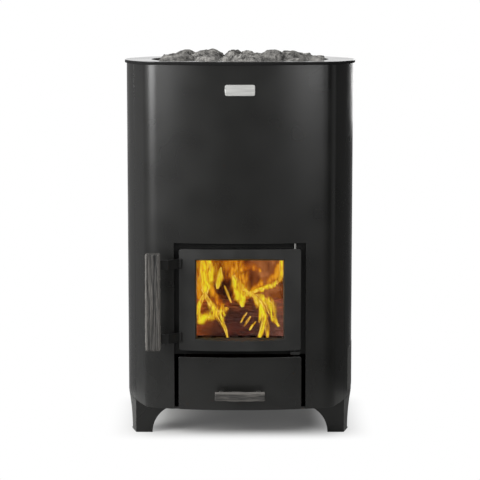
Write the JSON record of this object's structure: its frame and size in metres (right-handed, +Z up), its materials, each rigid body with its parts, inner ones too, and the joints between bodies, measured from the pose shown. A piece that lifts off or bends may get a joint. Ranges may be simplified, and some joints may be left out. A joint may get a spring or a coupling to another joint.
{
  "type": "wood-burning sauna stove",
  "caption": "Free-standing wood-burning sauna stove: barrel-plan steel jacket, hinged glass fire door with wooden handle, sliding ash drawer, arched legs and a top bed of heating stones.",
  "frame": {"origin": "middle of the bounding box on the floor, under the four legs", "axes": "+Z up, the fire door faces -Y, +X to the right as seen from the front"},
  "size_m": [0.4568, 0.5624, 0.7453],
  "materials": {
    "black_paint": "satin heat-resistant paint",
    "bare_steel": "mill-scale sheet",
    "cast_iron": "sand-cast, painted black",
    "zinc": "zinc-plated",
    "bright_plate": "brushed",
    "handle_wood": "grey-stained, open grain",
    "seal_rope": "braided glass fibre",
    "stone": "rough split",
    "firewood": "charred, split",
    "glass": "clear ceramic glass"
  },
  "bodies": {
    "stove": {"front_panel": "black_paint", "right_side_panel": "black_paint", "left_side_panel": "black_paint", "rear_panel": "black_paint", "top_rim": "black_paint", "base_plate": "black_paint", "front_left_leg": "black_paint", "front_right_leg": "black_paint", "rear_left_leg": "black_paint", "rear_right_leg": "black_paint", "name_plate": "bright_plate", "rating_plate": "bright_plate", "left_firebox_channel": "bare_steel", "right_firebox_channel": "bare_steel", "firebox_shell": "bare_steel", "flame_baffle": "bare_steel", "grate": "cast_iron", "flue_collar": "black_paint", "front_firewood_log": "firewood", "rear_firewood_log": "firewood", "stone_compartment": "bare_steel", "door_frame": "cast_iron", "stone_01": "stone", "stone_02": "stone", "stone_03": "stone", "stone_04": "stone", "stone_05": "stone", "stone_06": "stone", "stone_07": "stone", "stone_08": "stone", "stone_09": "stone", "stone_10": "stone", "stone_11": "stone", "stone_12": "stone", "stone_13": "stone", "stone_14": "stone", "stone_15": "stone", "stone_16": "stone"},
    "door": {"door_casting": "cast_iron", "door_glass": "glass", "glass_gasket": "seal_rope", "left_glass_clip": "zinc", "right_glass_clip": "zinc", "left_clip_screw": "zinc", "right_clip_screw": "zinc", "door_seal": "seal_rope", "upper_hinge_pin": "zinc", "lower_hinge_pin": "zinc", "upper_handle_arm": "black_paint", "lower_handle_arm": "black_paint", "upper_handle_bolt": "zinc", "lower_handle_bolt": "zinc", "door_handle": "handle_wood"},
    "ash_drawer": {"ash_drawer_front": "black_paint", "ash_drawer_box": "bare_steel", "drawer_handle": "handle_wood", "left_drawer_standoff": "zinc", "right_drawer_standoff": "zinc", "left_drawer_screw": "zinc", "right_drawer_screw": "zinc"}
  },
  "joints": [
    {"name": "door_hinge", "type": "hinge", "parent": "stove", "child": "door", "pos_m": [0.1047, -0.22583, 0.276], "axis": [0, 0, 1], "range_deg": [0, 120]},
    {"name": "ash_drawer_slide", "type": "slide", "parent": "stove", "child": "ash_drawer", "axis": [0, -1, 0], "range_m": [0, 0.28]}
  ]
}
